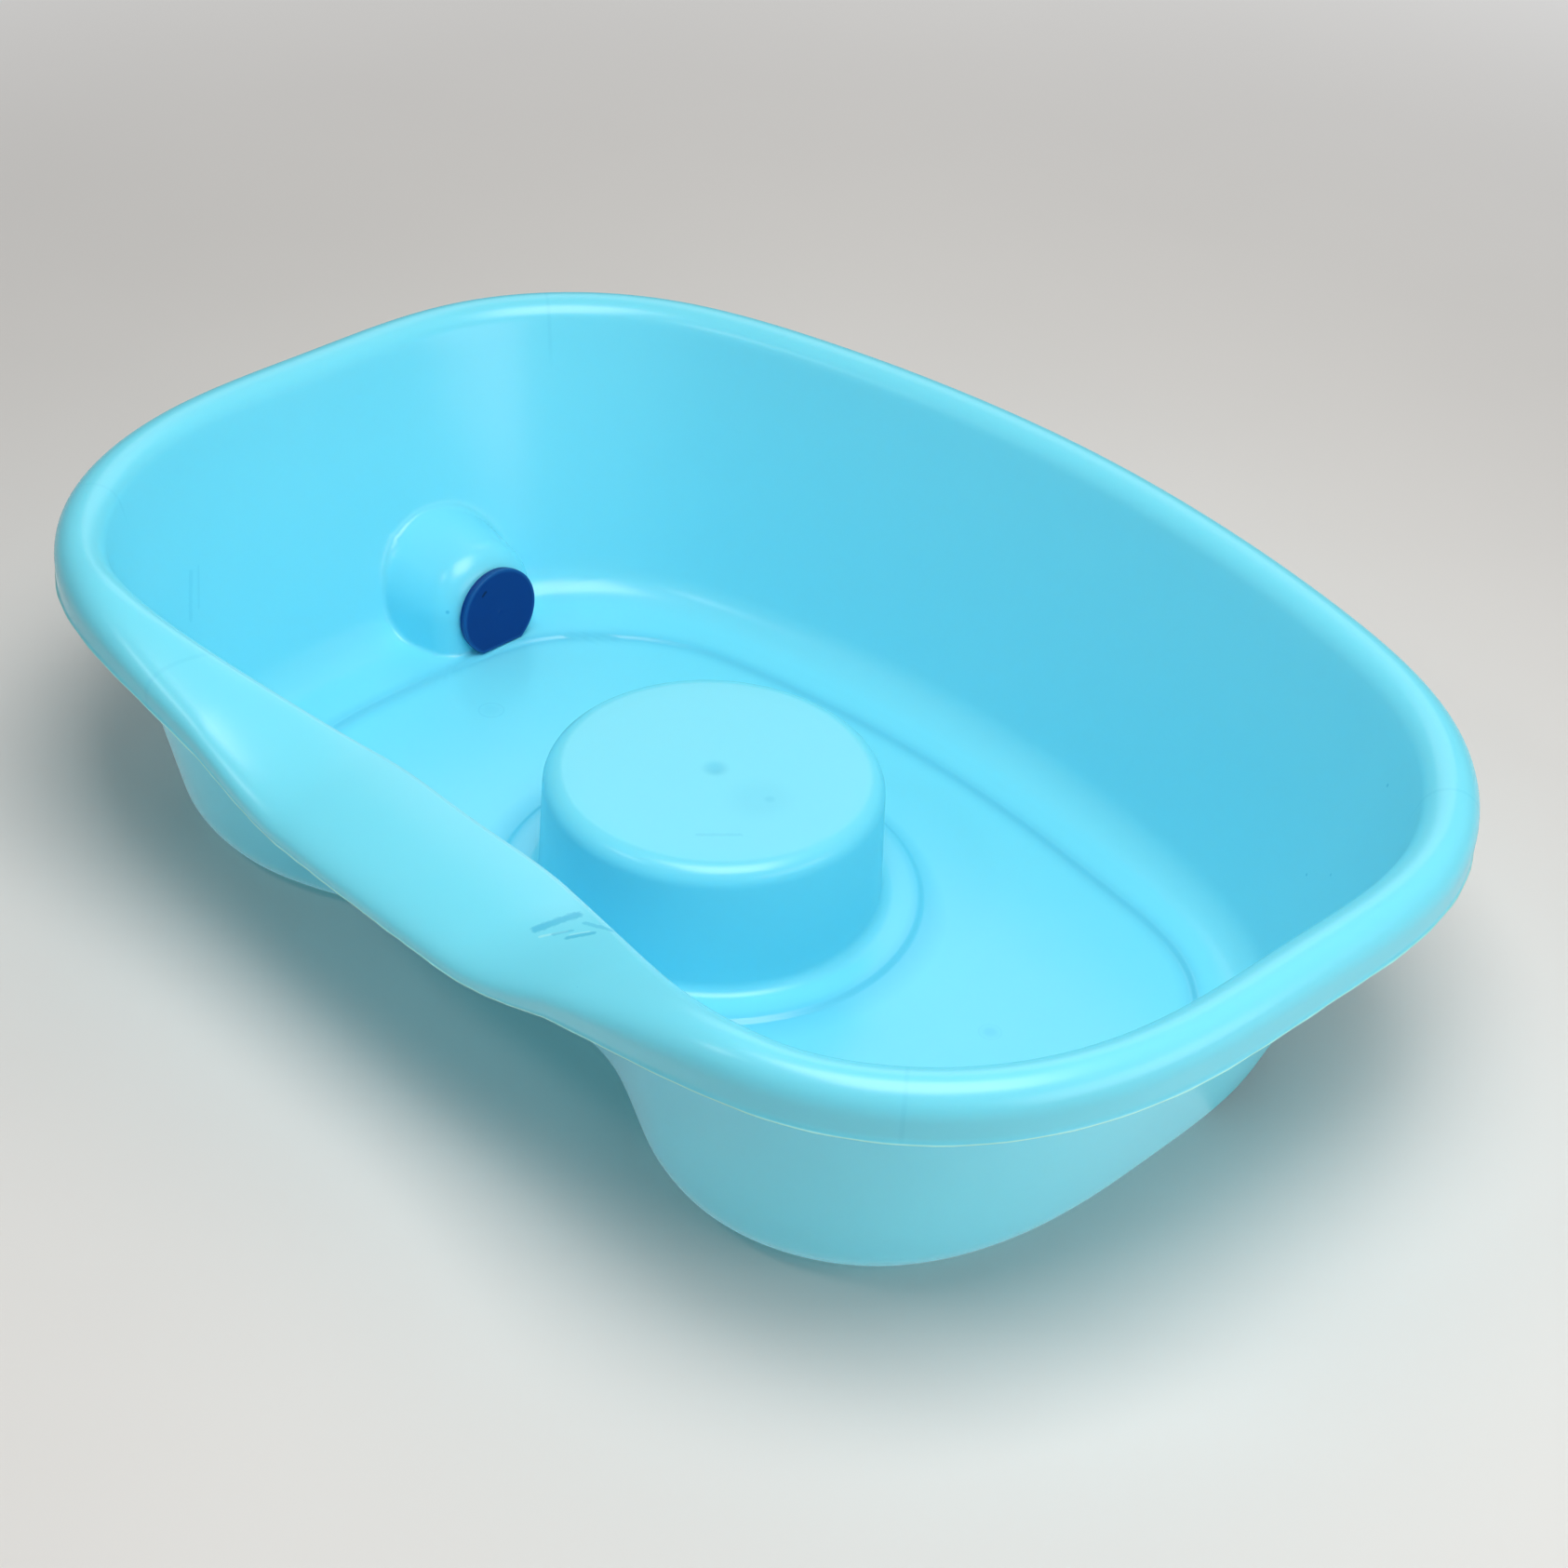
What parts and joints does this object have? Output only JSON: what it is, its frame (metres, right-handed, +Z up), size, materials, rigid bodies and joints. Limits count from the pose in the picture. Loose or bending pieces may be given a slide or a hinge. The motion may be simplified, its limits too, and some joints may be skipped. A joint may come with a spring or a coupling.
{
  "type": "portable shampoo basin",
  "caption": "Moulded plastic hair-washing basin with a raised round head rest, a dipped neck rest in its rolled rim and a push-in drain plug.",
  "frame": {"origin": "centre of the overall box, on the surface that the basin stands on", "axes": "+Z up, -Y towards the neck rest, -X towards the end with the drain"},
  "size_m": [0.536, 0.3776, 0.1244],
  "materials": {
    "basin_plastic": "satin sky-blue polypropylene",
    "plug_plastic": "satin navy plastic",
    "seal_rubber": "matte dark rubber"
  },
  "bodies": {
    "basin": {"basin_shell": "basin_plastic", "drain_body": "plug_plastic", "drain_gasket": "seal_rubber", "drain_nut": "plug_plastic"},
    "plug": {"drain_plug": "plug_plastic", "plug_seal": "seal_rubber"}
  },
  "joints": [
    {"name": "plug_pull", "type": "slide", "parent": "basin", "child": "plug", "axis": [0.9962, 0, 0.0872], "range_m": [0, 0.02]}
  ]
}
